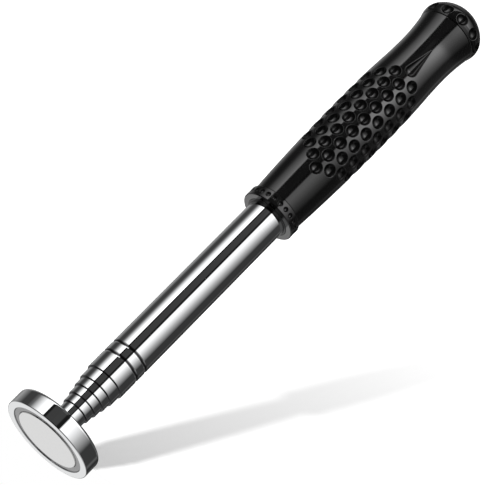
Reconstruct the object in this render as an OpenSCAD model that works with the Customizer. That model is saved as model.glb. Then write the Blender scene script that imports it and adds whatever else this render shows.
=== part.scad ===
// Telescoping magnetic pickup tool, shown closed.
// The tool lies along +X, from the magnet face at the origin to the end cap, with +Z up.
// Every piece is turned about Z first and then laid along X.

/* [Magnet head] */
// Diameter of the magnet disc
magnet_d = 20.2; // [14:0.2:30]
// Thickness of the magnet disc
magnet_t = 3.4; // [2:0.1:6]
// Chamfer on the magnet's front edge
magnet_edge = 0.2; // [0.1:0.05:0.5]
// Radial width of the grey ring round the magnet
ring_w = 1.55; // [0.8:0.05:3]
// How far the ring lies below the magnet face
ring_recess = 0.3; // [0.05:0.05:1]
// Radial width of the cup's rim
rim_w = 2.25; // [1.2:0.05:4]
// Rounding of the rim's front edge
rim_round = 0.3; // [0.1:0.05:0.8]
// Thickness of the cup's back wall
cup_back_t = 2.05; // [1.7:0.05:4]
// Rounding of the cup's back edge
cup_back_round = 1; // [0.2:0.1:1.5]

/* [Head screw] */
// Thread diameter of the screw
screw_d = 3; // [2:0.5:3.5]
// Head diameter of the screw
screw_head_d = 5.6; // [4.5:0.1:6]
// Whole length of the screw
screw_len = 10; // [6:0.5:14]
// Width across corners of the screw's hexagon socket
screw_socket_d = 2.3; // [1.5:0.1:2.5]
// Depth of the screw's socket
screw_socket_h = 1; // [0.5:0.1:1.2]
// Length of the plug that the screw holds in the last tube
tip_plug_len = 10; // [6:0.5:20]

/* [Telescoping tubes] */
// Outside diameter of the outer tube
tube_d = 12.2; // [11:0.1:16]
// Wall of every tube
tube_wall = 0.25; // [0.2:0.01:0.35]
// Radial gap between one tube's bore and the next tube
slide_gap = 0.2; // [0.15:0.01:0.25]
// How far the second tube stands out of the outer tube when closed
first_reach = 3.6; // [2:0.1:10]
// How far each tube after that stands out of the one before it when closed
next_reach = 2.7; // [1.8:0.1:8]
// How far the last tube stands out behind the cup when closed
tip_reach = 5.6; // [2:0.1:20]
// Length of the outer tube in front of the handle
bare_len = 68.7; // [40:0.1:120]
// Length of the rolled-in neck at each tube's front end
neck_len = 1.5; // [0.8:0.1:1.7]
// Rounding of each tube's front edge
neck_round = 0.35; // [0.1:0.05:0.4]
// Distance from the outer tube's front end to its first rolled groove
groove_at = 6.5; // [4:0.1:15]
// Distance from the first rolled groove to the second
groove_pitch = 3.6; // [2:0.1:8]
// Width of each rolled groove
groove_w = 1.1; // [0.8:0.1:1.8]

/* [Springs and stops] */
// Length of each split spring sleeve
spring_len = 12; // [6:0.5:20]
// Width of the slit along each spring sleeve
spring_slit = 1.2; // [0.4:0.1:2]
// Width of the stop bead and of the flange on each sliding tube
stop_w = 1; // [0.6:0.1:2]
// Depth of the plug in the outer tube's rear end
tube_plug_len = 5; // [3:0.1:12]
// Thickness of that plug's flange
plug_flange_t = 1.2; // [0.8:0.1:3]

/* [Handle collar] */
// Radial width of the black bush between the tube and the collar
bush_w = 0.6; // [0.5:0.02:2]
// How far the bush stands out of the collar's face
bush_proud = 0.1; // [0.05:0.05:1]
// Wall of the collar's spigot inside the grip
spigot_wall = 0.4; // [0.3:0.05:1]
// Length of the collar's spigot inside the grip
spigot_len = 3; // [1:0.1:10]
// Radial step from the grip's front end up to the collar's land
collar_step = 0.58; // [0.3:0.01:1.5]
// Radial depth of the collar's front chamfer
collar_chamfer = 0.25; // [0.2:0.05:0.8]
// Length of the collar's front chamfer
collar_nose = 0.25; // [0.2:0.05:3]
// Length of the collar's land
collar_land = 3.2; // [1.6:0.1:6]
// Length of the slope from the land down to the grip
collar_tail = 0.35; // [0.3:0.05:3]
// Number of small pits round the land
pit_count = 24; // [12:1:26]
// Diameter of each pit
pit_d = 1.6; // [0.8:0.1:1.8]
// Depth of each pit
pit_depth = 0.55; // [0.2:0.05:0.6]

/* [Grip] */
// Length of the grip
grip_len = 78.55; // [75:0.05:120]
// Wall of the grip round the collar's spigot
grip_front_wall = 0.82; // [0.5:0.01:2]
// Radial rise from the grip's front end to its belly
belly_rise = 1.23; // [0.4:0.01:3]
// Distance from the grip's front end to its belly
belly_at = 40.2; // [30:0.1:45]
// Radial fall from the belly to the waist
waist_fall = 0.75; // [0.3:0.05:1.4]
// Distance from the grip's front end to its waist
waist_at = 67.2; // [58:0.1:72]
// Radius of the hollow that runs into the waist
waist_hollow = 156; // [60:1:220]
// Radial rise from the waist to the grip's rear end
flare_rise = 0.93; // [0.4:0.01:2]

/* [Grip pattern] */
// Number of dimple columns round the grip
dimple_cols = 16; // [8:4:20]
// Number of dimples in the column on each crest line
dimple_rows = 8; // [5:1:8]
// Distance between dimples along a column
dimple_pitch = 5.36; // [4.6:0.01:5.6]
// Distance from the grip's front end to the first dimple
dimple_at = 13.6; // [8:0.1:15]
// Diameter of each dimple
dimple_d = 4; // [2:0.1:4.2]
// Depth of each dimple
dimple_depth = 1.25; // [0.3:0.05:1.5]
// Distance from the grip's front end to the round end of the flute
flute_at = 57.2; // [56:0.05:60]
// Length of the flute from its round end to its point
flute_len = 10.45; // [6:0.05:12]
// Turn of the crest line from straight up
grip_roll = 22; // [-180:1:180]

/* [End cap] */
// Length of the cap behind the grip
cap_len = 9.65; // [7.5:0.05:14]
// Radial step from the grip's rear end up to the cap
cap_step = 0.06; // [0.05:0.01:0.6]
// Distance from the grip to the cap's widest circle
cap_shoulder = 2; // [0.5:0.1:2.5]
// Radius of the cap's rounded shoulder
cap_shoulder_r = 5; // [3:0.1:5.4]
// Length of the cap's spigot inside the grip
cap_spigot_len = 1.7; // [1:0.1:5]
// Number of dimples round the cap
cap_dimples = 11; // [6:1:13]
// Distance from the grip to the ring of dimples on the cap
cap_dimple_at = 2.2; // [2.2:0.1:3.2]

/* [Clearances] */
// Gap between pieces that are seated on each other
seat_gap = 0.05; // [0.02:0.01:0.1]
// Radial gap where a neck, bead or flange guides a sliding tube
guide_gap = 0.05; // [0.03:0.01:0.08]
// Radial gap between a spring sleeve and the tube inside it
spring_gap = 0.03; // [0.01:0.005:0.06]
// Radial gap between a spring sleeve and the bore round it
spring_play = 0.07; // [0.01:0.005:0.08]
// End gap between pieces that move apart
end_gap = 0.3; // [0.2:0.05:0.6]

/* [Hidden] */

chrome = "#d6d8db";
steel = "#b9bcc0";
nickel = "#dadbdc";
grey = "#a4a5a6";
bronze = "#b98a4a";
black = "#1c1c1d";
soot = "#101011";

round_fn = 96;
dimple_fn = 48;
arc_fn = 720;
// Length of the chords along the grip's outline, which end midway between rows of dimples
grip_chord = dimple_pitch / 2;
// Number of chords round the flute's ball
flute_chords = 10;
// How far the flute's point lies outside the grip, so that its two edges meet at an angle
flute_lift = 0.05;
// Small overlap that makes cuts pass through a face
past = 0.5;

// Magnet head, by distance from the magnet face
ring_r = magnet_d / 2 + seat_gap;
cup_bore_r = ring_r + ring_w + seat_gap;
cup_r = cup_bore_r + rim_w;
cup_floor = magnet_t + seat_gap;
cup_h = cup_floor + cup_back_t;
screw_r = screw_d / 2;
screw_head_r = screw_head_d / 2;
screw_cone = screw_head_r - screw_r;
screw_top = cup_floor + seat_gap;

// Tubes, numbered from the outer one to the one that carries the head
last_tube = 6;
// Height of every neck, bead and flange on a tube
lip = slide_gap - guide_gap;
groove_r = (groove_w * groove_w / 4 + lip * lip) / (2 * lip);
function tube_r(k) = tube_d / 2 - (k - 1) * (tube_wall + slide_gap);
function tube_front(k) =
    k == last_tube ? cup_h + seat_gap :
    k == 1 ? tube_front(2) + first_reach :
    cup_h + tip_reach + (last_tube - 1 - k) * next_reach;

// Handle, from its collar to its cap
collar_front = tube_front(1) + bare_len;
collar_rear = collar_front + collar_nose + collar_land + collar_tail;
grip_front = collar_rear + seat_gap;
grip_rear = grip_front + grip_len;
cap_front = grip_rear + seat_gap;
cap_rear = cap_front + cap_len;
bush_in_r = tube_r(1) + seat_gap;
bush_out_r = bush_in_r + bush_w;
collar_bore_r = bush_out_r + seat_gap;
spigot_r = collar_bore_r + spigot_wall;
grip_socket_r = spigot_r + seat_gap;
grip_front_r = grip_socket_r + grip_front_wall;
collar_r = grip_front_r + collar_step;
belly_r = grip_front_r + belly_rise;
waist_r = belly_r - waist_fall;
grip_rear_r = waist_r + flare_rise;

// Rear stops inside the outer tube
plug_rear = cap_front - cap_spigot_len - end_gap;
tube_rear = plug_rear - plug_flange_t - seat_gap;
plug_front = tube_rear - tube_plug_len;
slide_rear = plug_front - end_gap;
spring_rear = slide_rear - stop_w - end_gap;
spring_front = spring_rear - spring_len;
bead_front = spring_front - end_gap - stop_w;

// Arcs of the grip's outline, each level at the belly or the waist
function level_arc(run, rise) = (run * run + rise * rise) / (2 * rise);
function arc_fall(r, run) = r - sqrt(r * r - run * run);
front_arc = level_arc(belly_at, belly_rise);
belly_arc = level_arc(waist_at - belly_at, waist_fall) - waist_hollow;
flare_arc = level_arc(grip_len - waist_at, flare_rise);
blend_at = belly_at + (waist_at - belly_at) * belly_arc / (belly_arc + waist_hollow);
function grip_r(t) =
    t < belly_at ? belly_r - arc_fall(front_arc, belly_at - t) :
    t < blend_at ? belly_r - arc_fall(belly_arc, t - belly_at) :
    t < waist_at ? waist_r + arc_fall(waist_hollow, waist_at - t) :
    waist_r + arc_fall(flare_arc, t - waist_at);

// End cap: a shoulder arc that runs into a wider end arc
cap_front_r = grip_rear_r + cap_step;
cap_r = cap_front_r + arc_fall(cap_shoulder_r, cap_shoulder);
cap_depth = cap_len - cap_shoulder;
cap_end_arc = (cap_depth * cap_depth + cap_r * cap_r - 2 * cap_r * cap_shoulder_r)
    / (2 * (cap_depth - cap_shoulder_r));
shoulder_centre = [cap_r - cap_shoulder_r, cap_front + cap_shoulder];
cap_end_centre = [0, cap_rear - cap_end_arc];
cap_tangent = cap_end_centre
    + (shoulder_centre - cap_end_centre) * cap_end_arc / (cap_end_arc - cap_shoulder_r);
cap_dimple_tilt = asin((cap_dimple_at - cap_shoulder) / cap_shoulder_r);

// Radius of the ball that leaves a round hollow of this width and depth in a flat face
function ball_r(d, depth) = (d * d / 4 + depth * depth) / (2 * depth);

// Lays a piece that was made along Z down along X
module lay() {
    rotate([0, 90, 0]) children();
}

// Turns an outline of [radius, distance along the axis] about the tool's axis
module turned() {
    lay() rotate_extrude($fn = round_fn) children();
}

// Round segment that swells the line from a to b out to its right, with radius r
module swell(a, b, r) {
    half = norm(b - a) / 2;
    out = [b.y - a.y, a.x - b.x] / (2 * half);
    intersection() {
        translate((a + b) / 2 - out * sqrt(r * r - half * half)) circle(r, $fn = arc_fn);
        polygon([a, b, b + out * half, a + out * half]);
    }
}

// Plain ring from radius r1 to r2, from z1 to z2
module ring_outline(r1, r2, z1, z2) {
    translate([r1, z1]) square([r2 - r1, z2 - z1]);
}

// Ball that cuts a hollow of the given width and depth into a wall of radius r, at height z
module hollow_ball(r, z, d, depth) {
    ball = ball_r(d, depth);
    translate([r + ball - depth, 0, z]) sphere(ball, $fn = dimple_fn);
}

module magnet_disc() {
    r = magnet_d / 2;
    color(nickel) turned()
        polygon([[0, 0], [r - magnet_edge, 0], [r, magnet_edge], [r, magnet_t], [0, magnet_t]]);
}

module spacer_ring() {
    color(grey) turned() ring_outline(ring_r, ring_r + ring_w, ring_recess, cup_floor - seat_gap);
}

module magnet_cup() {
    hole_r = screw_r + seat_gap;
    sink_r = screw_head_r + 2 * seat_gap;
    rim = [[cup_r - rim_round, 0], [cup_r, rim_round]];
    back = [[cup_r, cup_h - cup_back_round], [cup_r - cup_back_round, cup_h]];
    color(chrome) turned() {
        polygon([[cup_bore_r, 0], rim[0], rim[1], back[0], back[1], [hole_r, cup_h],
                 [hole_r, cup_floor + sink_r - hole_r], [sink_r, cup_floor], [cup_bore_r, cup_floor]]);
        swell(rim[0], rim[1], rim_round);
        swell(back[0], back[1], cup_back_round);
    }
}

module head_screw() {
    color(steel) difference() {
        turned() polygon([[0, screw_top], [screw_head_r, screw_top], [screw_r, screw_top + screw_cone],
                          [screw_r, screw_top + screw_len], [0, screw_top + screw_len]]);
        lay() translate([0, 0, screw_top - past])
            cylinder(d = screw_socket_d, h = screw_socket_h + past, $fn = 6);
    }
}

module tip_plug() {
    z = tube_front(last_tube);
    color(steel) turned()
        ring_outline(screw_r + seat_gap, tube_r(last_tube) - tube_wall - seat_gap, z, z + tip_plug_len);
}

// Wall of a tube with its front end rolled in round the next tube
module necked_wall(k, rear) {
    r = tube_r(k);
    z = tube_front(k);
    bore = r - tube_wall;
    edge = [[r - neck_round, z], [r, z + neck_round]];
    polygon([[bore - lip, z], edge[0], edge[1], [r, rear], [bore, rear],
             [bore, z + neck_len + lip], [bore - lip, z + neck_len]]);
    swell(edge[0], edge[1], neck_round);
}

module outer_tube() {
    r = tube_r(1);
    centre = r + groove_r - lip;
    grooves = [for (i = [0, 1]) tube_front(1) + groove_at + i * groove_pitch];
    color(chrome) turned() difference() {
        union() {
            necked_wall(1, tube_rear);
            for (z = grooves) intersection() {
                translate([centre, z]) circle(groove_r + tube_wall, $fn = round_fn);
                ring_outline(r - tube_wall - 2 * lip, r - tube_wall / 2, z - groove_w, z + groove_w);
            }
        }
        for (z = grooves) translate([centre, z]) circle(groove_r, $fn = round_fn);
    }
}

// Sliding tube with a stop bead and a rear flange that hold its spring sleeve between them
module section_tube(k) {
    r = tube_r(k);
    inner = r - tube_wall;
    color(chrome) turned() {
        if (k < last_tube) necked_wall(k, slide_rear);
        else ring_outline(inner, r, tube_front(k), slide_rear);
        for (z = [bead_front, slide_rear - stop_w])
            ring_outline(inner + tube_wall / 2, r + lip, z, z + stop_w);
    }
}

// Split sleeve that grips the bore of the tube round it
module friction_spring(k) {
    r1 = tube_r(k) + spring_gap;
    r2 = tube_r(k) + slide_gap - spring_play;
    color(bronze) difference() {
        turned() ring_outline(r1, r2, spring_front, spring_rear);
        lay() translate([0, -spring_slit / 2, spring_front - past])
            cube([r2 + past, spring_slit, spring_len + 2 * past]);
    }
}

module tube_plug() {
    r = tube_r(1);
    color(steel) turned()
        polygon([[0, plug_front], [r - tube_wall - seat_gap, plug_front],
                 [r - tube_wall - seat_gap, tube_rear + seat_gap], [r, tube_rear + seat_gap],
                 [r, plug_rear], [0, plug_rear]]);
}

module tube_bush() {
    edge = bush_proud / 2;
    z = collar_front - bush_proud;
    color(soot) turned()
        polygon([[bush_in_r, z], [bush_out_r - edge, z], [bush_out_r, z + edge],
                 [bush_out_r, collar_rear], [bush_in_r, collar_rear]]);
}

module front_collar() {
    land = collar_front + collar_nose;
    color(black) difference() {
        turned() polygon([[collar_bore_r, collar_front], [collar_r - collar_chamfer, collar_front],
                          [collar_r, land], [collar_r, land + collar_land], [grip_front_r, collar_rear],
                          [spigot_r, collar_rear], [spigot_r, collar_rear + spigot_len],
                          [collar_bore_r, collar_rear + spigot_len]]);
        lay() for (i = [0 : pit_count - 1]) rotate(180 + grip_roll + i * 360 / pit_count)
            hollow_ball(collar_r, land + collar_land / 2, pit_d, pit_depth);
    }
}

// Grip without its pattern: short chords along the outline's arcs, and the socket for the collar
module grip_outline() {
    first = (dimple_at - grip_chord / 2) % grip_chord;
    inner = [for (t = [first : grip_chord : grip_len - grip_chord / 4]) if (t > grip_chord / 4) t];
    stations = concat([0], inner, [grip_len]);
    difference() {
        polygon(concat([for (t = stations) [grip_r(t), grip_front + t]],
                       [[bush_in_r, grip_rear], [bush_in_r, grip_front]]));
        ring_outline(bush_in_r - past, grip_socket_r, grip_front - past, grip_front + spigot_len + end_gap);
    }
}

// Columns of dimples whose ends step back from the two crest lines
module grip_dimples() {
    half = dimple_cols / 2;
    for (c = [0 : dimple_cols - 1]) {
        back = min(c % half, half - c % half);
        for (i = [0 : min(dimple_rows, dimple_rows + 1 - back) - 1]) {
            t = dimple_at + (i + back / 2) * dimple_pitch;
            rotate(c * 360 / dimple_cols)
                hollow_ball(grip_r(t), grip_front + t, dimple_d, dimple_depth);
        }
    }
}

// Drop-shaped hollow on a crest line: a ball that runs out in a cone, with its point just outside
module crest_flute() {
    ball = ball_r(dimple_d, dimple_depth);
    start = [grip_r(flute_at) + ball - dimple_depth, 0, grip_front + flute_at];
    run = [grip_r(flute_at + flute_len) + flute_lift, 0, start.z + flute_len] - start;
    reach = norm(run);
    touch = asin(ball / reach);
    arc = [for (i = [0 : flute_chords]) -90 + (90 + touch) * i / flute_chords];
    translate(start) rotate([0, -acos(run.z / reach), 0]) rotate_extrude($fn = dimple_fn)
        polygon(concat([for (a = arc) ball * [cos(a), sin(a)]], [[0, reach]]));
}

module grip_sleeve() {
    color(black) difference() {
        turned() grip_outline();
        lay() rotate(180 + grip_roll) {
            grip_dimples();
            for (side = [0, 180]) rotate(side) crest_flute();
        }
    }
}

module end_cap() {
    shoulder = [cap_front_r, cap_front];
    tip = [0, cap_rear];
    spigot = bush_in_r - seat_gap;
    reach = cap_shoulder_r + ball_r(dimple_d, dimple_depth) - dimple_depth;
    color(black) difference() {
        turned() {
            polygon([shoulder, cap_tangent, tip, [0, cap_front - cap_spigot_len],
                     [spigot, cap_front - cap_spigot_len], [spigot, cap_front]]);
            swell(shoulder, cap_tangent, cap_shoulder_r);
            swell(cap_tangent, tip, cap_end_arc);
        }
        lay() for (i = [0 : cap_dimples - 1]) rotate(180 + grip_roll + i * 360 / cap_dimples)
            translate([shoulder_centre.x + reach * cos(cap_dimple_tilt), 0,
                       shoulder_centre.y + reach * sin(cap_dimple_tilt)])
                sphere(ball_r(dimple_d, dimple_depth), $fn = dimple_fn);
    }
}

magnet_cup();
magnet_disc();
spacer_ring();
head_screw();
tip_plug();
outer_tube();
for (k = [2 : last_tube]) section_tube(k);
for (k = [2 : last_tube]) friction_spring(k);
tube_plug();
tube_bush();
front_collar();
grip_sleeve();
end_cap();
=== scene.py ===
import math

import bmesh
import bpy
import numpy as np
from mathutils import Matrix, Vector
from mathutils.geometry import delaunay_2d_cdt


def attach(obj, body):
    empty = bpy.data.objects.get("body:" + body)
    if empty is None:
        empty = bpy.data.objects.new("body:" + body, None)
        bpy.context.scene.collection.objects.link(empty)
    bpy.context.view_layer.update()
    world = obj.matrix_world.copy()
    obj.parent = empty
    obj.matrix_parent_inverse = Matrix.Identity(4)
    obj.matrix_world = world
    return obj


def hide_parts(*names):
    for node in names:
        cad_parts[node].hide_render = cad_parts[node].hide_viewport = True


# Telescoping magnetic pickup tool, closed. Sizes are millimetres and repeat the part's source.
# The tool lies along +X from the magnet face at the origin. A turn about it is measured from +Z towards -Y.

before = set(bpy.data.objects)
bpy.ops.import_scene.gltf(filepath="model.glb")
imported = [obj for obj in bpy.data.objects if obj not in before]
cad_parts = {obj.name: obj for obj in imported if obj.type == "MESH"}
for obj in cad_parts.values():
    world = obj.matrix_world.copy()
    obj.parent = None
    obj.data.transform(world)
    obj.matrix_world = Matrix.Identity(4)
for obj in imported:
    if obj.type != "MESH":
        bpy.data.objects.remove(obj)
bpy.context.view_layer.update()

MM = 0.001
TURN = 2 * math.pi
# The photo shows the tool's crest line, which lies this far round from straight up
CREST = math.radians(22)

# Magnet head
CUP_R, CUP_H, CUP_BORE_R, CUP_FLOOR = 14.0, 5.5, 11.75, 3.45
RIM_ROUND, RIM_IN_ROUND, CUP_BACK_ROUND = 0.3, 0.2, 1.0
SCREW_HOLE_R, SCREW_SINK_R = 1.55, 2.9
MAGNET_R, MAGNET_T, MAGNET_EDGE, MAGNET_ROUND = 10.1, 3.4, 0.2, 0.12
RING_IN_R, RING_OUT_R, RING_FRONT = 10.15, 11.7, 0.3
# Rounding of the head's other small edges
FINE_ROUND = 0.1

# Tubes, from the outer one to the one that carries the head
TUBE_R = [6.1, 5.65, 5.2, 4.75, 4.3, 3.85]
TUBE_FRONT = [22.8, 19.2, 16.5, 13.8, 11.1, 5.55]
TUBE_WALL, NECK_LEN, NECK_ROUND, LIP, LIP_ROUND = 0.25, 1.5, 0.35, 0.15, 0.02
# The last tube has no neck, only a rounded front edge
TIP_IN_ROUND, TIP_OUT_ROUND = 0.05, 0.1
OUTER_REAR, SLIDE_REAR = 170.7, 165.4
BEAD_AT, STOP_W, STOP_ROUND = 150.8, 1.0, 0.04
GROOVES, GROOVE_W, GROOVE_DEPTH, GROOVE_ROUND = (29.3, 32.9), 1.1, 0.2, 0.3
# Length of a tube's front edge and half-width of a groove's bottom, which are painted dark as shade
PAINTED_SHADE_EDGE, PAINTED_SHADE_GROOVE = 0.24, 0.2

# Handle
BUSH_FRONT, BUSH_REAR, BUSH_IN_R, BUSH_OUT_R = 91.4, 95.3, 6.15, 6.75
BUSH_IN_ROUND, BUSH_OUT_ROUND = 0.06, 0.08
COLLAR_FRONT, COLLAR_FACE_R, COLLAR_R, COLLAR_BORE_R = 91.5, 8.4, 8.65, 6.8
LAND_FRONT, LAND_REAR, COLLAR_REAR = 91.75, 94.95, 95.3
MOUTH_ROUND, FACE_ROUND, LAND_FRONT_ROUND, LAND_REAR_ROUND, COLLAR_REAR_ROUND = 0.05, 0.1, 0.15, 0.12, 0.06
SPIGOT_R, SPIGOT_LEN = 7.2, 3.0
PITS, PIT_D, PIT_DEPTH = 24, 1.6, 0.55
GRIP_FRONT, GRIP_LEN, GRIP_BORE_R = 95.35, 78.55, 6.15
GRIP_FRONT_ROUND, GRIP_REAR_ROUND = 0.12, 0.25
SOCKET_R, SOCKET_LEN = 7.25, 3.3
GRIP_FRONT_R, BELLY_R, WAIST_R, GRIP_REAR_R = 8.07, 9.3, 8.55, 9.48
BELLY_AT, WAIST_AT, WAIST_HOLLOW = 40.2, 67.2, 156.0
DIMPLE_COLS, DIMPLE_ROWS, DIMPLE_PITCH, DIMPLE_AT = 16, 8, 5.36, 13.6
DIMPLE_D, DIMPLE_DEPTH = 4.0, 1.25
FLUTE_AT, FLUTE_LEN, FLUTE_LIFT = 57.2, 10.45, 0.05
CAP_FRONT, CAP_LEN, CAP_FRONT_R, CAP_FRONT_ROUND = 173.95, 9.65, 9.54, 0.12
CAP_SHOULDER, CAP_SHOULDER_R = 2.0, 5.0
CAP_SPIGOT_R, CAP_SPIGOT_LEN = 6.1, 1.7
CAP_DIMPLES, CAP_DIMPLE_AT = 11, 2.2

# Number of flat sides that stand for a full circle
SIDES = 192
# Steps of a rounded edge, and the narrow flank that keeps the flat beside it flat
ARC_STEPS, FLANK = 6, 0.03
# Edges turn sharp from this angle between their faces
SHARP = math.radians(38)
# Points closer than this, in metres, become one: where a turning closes, and where a piece's walls meet
CLOSE_TURNING, CLOSE_PIECE = 1e-6, 2e-6


def linear(colour):
    """Linear colour for an sRGB hex value."""
    parts = [int(colour[i:i + 2], 16) / 255 for i in (1, 3, 5)]
    return [p / 12.92 if p < 0.04045 else ((p + 0.055) / 1.055) ** 2.4 for p in parts] + [1.0]


def put(tree, kind, inputs=None, **settings):
    """Adds a node. An input takes a value, or a socket of another node to link from."""
    node = tree.nodes.new(kind)
    for name, value in settings.items():
        setattr(node, name, value)
    for name, value in (inputs or {}).items():
        if isinstance(value, bpy.types.NodeSocket):
            tree.links.new(value, node.inputs[name])
        else:
            node.inputs[name].default_value = value
    return node


# Materials. Patterns follow the place on the piece. A noise's scale is its number of grains in a metre.

def new_material(name):
    material = bpy.data.materials.new(name)
    material.use_nodes = True
    material.node_tree.nodes.clear()
    return material, material.node_tree


def polished_chrome(name, across, along):
    """Bright chrome plate: a crisp mirror, with faint polishing lines that follow the tool's turning."""
    material, tree = new_material(name)
    at = put(tree, "ShaderNodeTexCoord").outputs["Object"]
    # Polishing lines about 0.3 mm apart on the tubes and 0.5 mm on the cup, drawn out round the tool
    lines_at = put(tree, "ShaderNodeMapping", {"Vector": at, "Scale": (across, along, along)})
    lines = put(tree, "ShaderNodeTexNoise", {"Vector": lines_at.outputs[0], "Scale": 1.0, "Detail": 3.0})
    # Soft haze in patches of about 12 mm, as handling leaves it
    haze = put(tree, "ShaderNodeTexNoise", {"Vector": at, "Scale": 80.0, "Detail": 2.0})
    both = put(tree, "ShaderNodeMath", {0: lines.outputs[0], 1: haze.outputs[0]}, operation="MULTIPLY")
    rough = put(tree, "ShaderNodeMapRange", {"Value": both.outputs[0], "From Min": 0.1, "From Max": 0.45,
                                             "To Min": 0.015, "To Max": 0.04})
    bump = put(tree, "ShaderNodeBump", {"Height": lines.outputs[0], "Strength": 0.02, "Distance": 0.05 * MM})
    # Rolled edges and grooves get painted shade, a dark tone mixed into the base colour: the pieces mark them
    # in an attribute
    painted_shade = put(tree, "ShaderNodeAttribute", attribute_name="painted_shade").outputs["Fac"]
    tone = put(tree, "ShaderNodeMix", {"Factor": painted_shade, 6: linear("#f0f1f2"), 7: linear("#38383a")},
               data_type="RGBA")
    shader = put(tree, "ShaderNodeBsdfPrincipled", {
        "Base Color": tone.outputs[2], "Metallic": 1.0, "Roughness": rough.outputs[0],
        "Normal": bump.outputs[0]})
    put(tree, "ShaderNodeOutputMaterial", {"Surface": shader.outputs[0]})
    return material


def nickel_magnet():
    """Barrel-plated nickel on a sintered magnet: a dull, even metal with a fine grain."""
    material, tree = new_material("satin_nickel_on_sintered_magnet")
    at = put(tree, "ShaderNodeTexCoord").outputs["Object"]
    # Grain of about 0.25 mm
    grain = put(tree, "ShaderNodeTexNoise", {"Vector": at, "Scale": 4000.0, "Detail": 3.0})
    tone = put(tree, "ShaderNodeMix", {"Factor": grain.outputs[0], 6: linear("#e4e4e4"), 7: linear("#eeeeed")},
               data_type="RGBA")
    rough = put(tree, "ShaderNodeMapRange", {"Value": grain.outputs[0], "To Min": 0.1, "To Max": 0.16})
    bump = put(tree, "ShaderNodeBump", {"Height": grain.outputs[0], "Strength": 0.08, "Distance": 0.03 * MM})
    shader = put(tree, "ShaderNodeBsdfPrincipled", {
        "Base Color": tone.outputs[2], "Metallic": 1.0, "Roughness": rough.outputs[0],
        "Normal": bump.outputs[0]})
    put(tree, "ShaderNodeOutputMaterial", {"Surface": shader.outputs[0]})
    return material


def matt_aluminium():
    """Blasted aluminium ring: no mirror left, a soft grey with a sandy grain."""
    material, tree = new_material("blasted_aluminium")
    at = put(tree, "ShaderNodeTexCoord").outputs["Object"]
    # Blast grit of about 0.15 mm
    grit = put(tree, "ShaderNodeTexNoise", {"Vector": at, "Scale": 6500.0, "Detail": 2.0})
    tone = put(tree, "ShaderNodeMix", {"Factor": grit.outputs[0], 6: linear("#9c9c9d"), 7: linear("#b4b4b4")},
               data_type="RGBA")
    bump = put(tree, "ShaderNodeBump", {"Height": grit.outputs[0], "Strength": 0.2, "Distance": 0.05 * MM})
    shader = put(tree, "ShaderNodeBsdfPrincipled", {
        "Base Color": tone.outputs[2], "Metallic": 1.0, "Roughness": 0.36, "Normal": bump.outputs[0]})
    put(tree, "ShaderNodeOutputMaterial", {"Surface": shader.outputs[0]})
    return material


def gloss_black_abs():
    """Black ABS from a polished mould: deep black under a clear gloss, with a hint of flow in the skin."""
    material, tree = new_material("gloss_black_moulded_abs")
    at = put(tree, "ShaderNodeTexCoord").outputs["Object"]
    # Flow marks of the melt, about 8 mm long, and mould polish of about 0.4 mm
    flow = put(tree, "ShaderNodeTexNoise", {"Vector": at, "Scale": 120.0, "Detail": 2.0})
    polish = put(tree, "ShaderNodeTexNoise", {"Vector": at, "Scale": 2500.0, "Detail": 2.0})
    tone = put(tree, "ShaderNodeMix", {"Factor": flow.outputs[0], 6: linear("#050505"), 7: linear("#0a0a0a")},
               data_type="RGBA")
    rough = put(tree, "ShaderNodeMapRange", {"Value": flow.outputs[0], "To Min": 0.1, "To Max": 0.16})
    bump = put(tree, "ShaderNodeBump", {"Height": polish.outputs[0], "Strength": 0.02, "Distance": 0.02 * MM})
    # Painted shade in the hollows: their walls get less gloss and coat, so they reflect darker; the pieces mark
    # them in an attribute
    painted_hollow_shade = put(tree, "ShaderNodeAttribute", attribute_name="painted_hollow_shade").outputs["Fac"]
    gloss = put(tree, "ShaderNodeMapRange", {"Value": painted_hollow_shade, "To Min": 0.5, "To Max": 0.07})
    coat = put(tree, "ShaderNodeMapRange", {"Value": painted_hollow_shade, "To Min": 0.6, "To Max": 0.05})
    shader = put(tree, "ShaderNodeBsdfPrincipled", {
        "Base Color": tone.outputs[2], "Roughness": rough.outputs[0], "IOR": 1.5, "Normal": bump.outputs[0],
        "Specular IOR Level": gloss.outputs[0], "Coat Weight": coat.outputs[0], "Coat Roughness": 0.06,
        "Coat IOR": 1.5})
    put(tree, "ShaderNodeOutputMaterial", {"Surface": shader.outputs[0]})
    return material


def matt_black_nylon():
    """Turned nylon bush: soft black with a dull, slightly ringed surface."""
    material, tree = new_material("matt_black_turned_nylon")
    at = put(tree, "ShaderNodeTexCoord").outputs["Object"]
    # Tool marks about 0.15 mm apart along the axis
    marks_at = put(tree, "ShaderNodeMapping", {"Vector": at, "Scale": (6500.0, 60.0, 60.0)})
    marks = put(tree, "ShaderNodeTexNoise", {"Vector": marks_at.outputs[0], "Scale": 1.0, "Detail": 2.0})
    tone = put(tree, "ShaderNodeMix", {"Factor": marks.outputs[0], 6: linear("#060606"), 7: linear("#101010")},
               data_type="RGBA")
    bump = put(tree, "ShaderNodeBump", {"Height": marks.outputs[0], "Strength": 0.1, "Distance": 0.03 * MM})
    shader = put(tree, "ShaderNodeBsdfPrincipled", {
        "Base Color": tone.outputs[2], "Roughness": 0.32, "IOR": 1.53, "Normal": bump.outputs[0]})
    put(tree, "ShaderNodeOutputMaterial", {"Surface": shader.outputs[0]})
    return material


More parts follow.
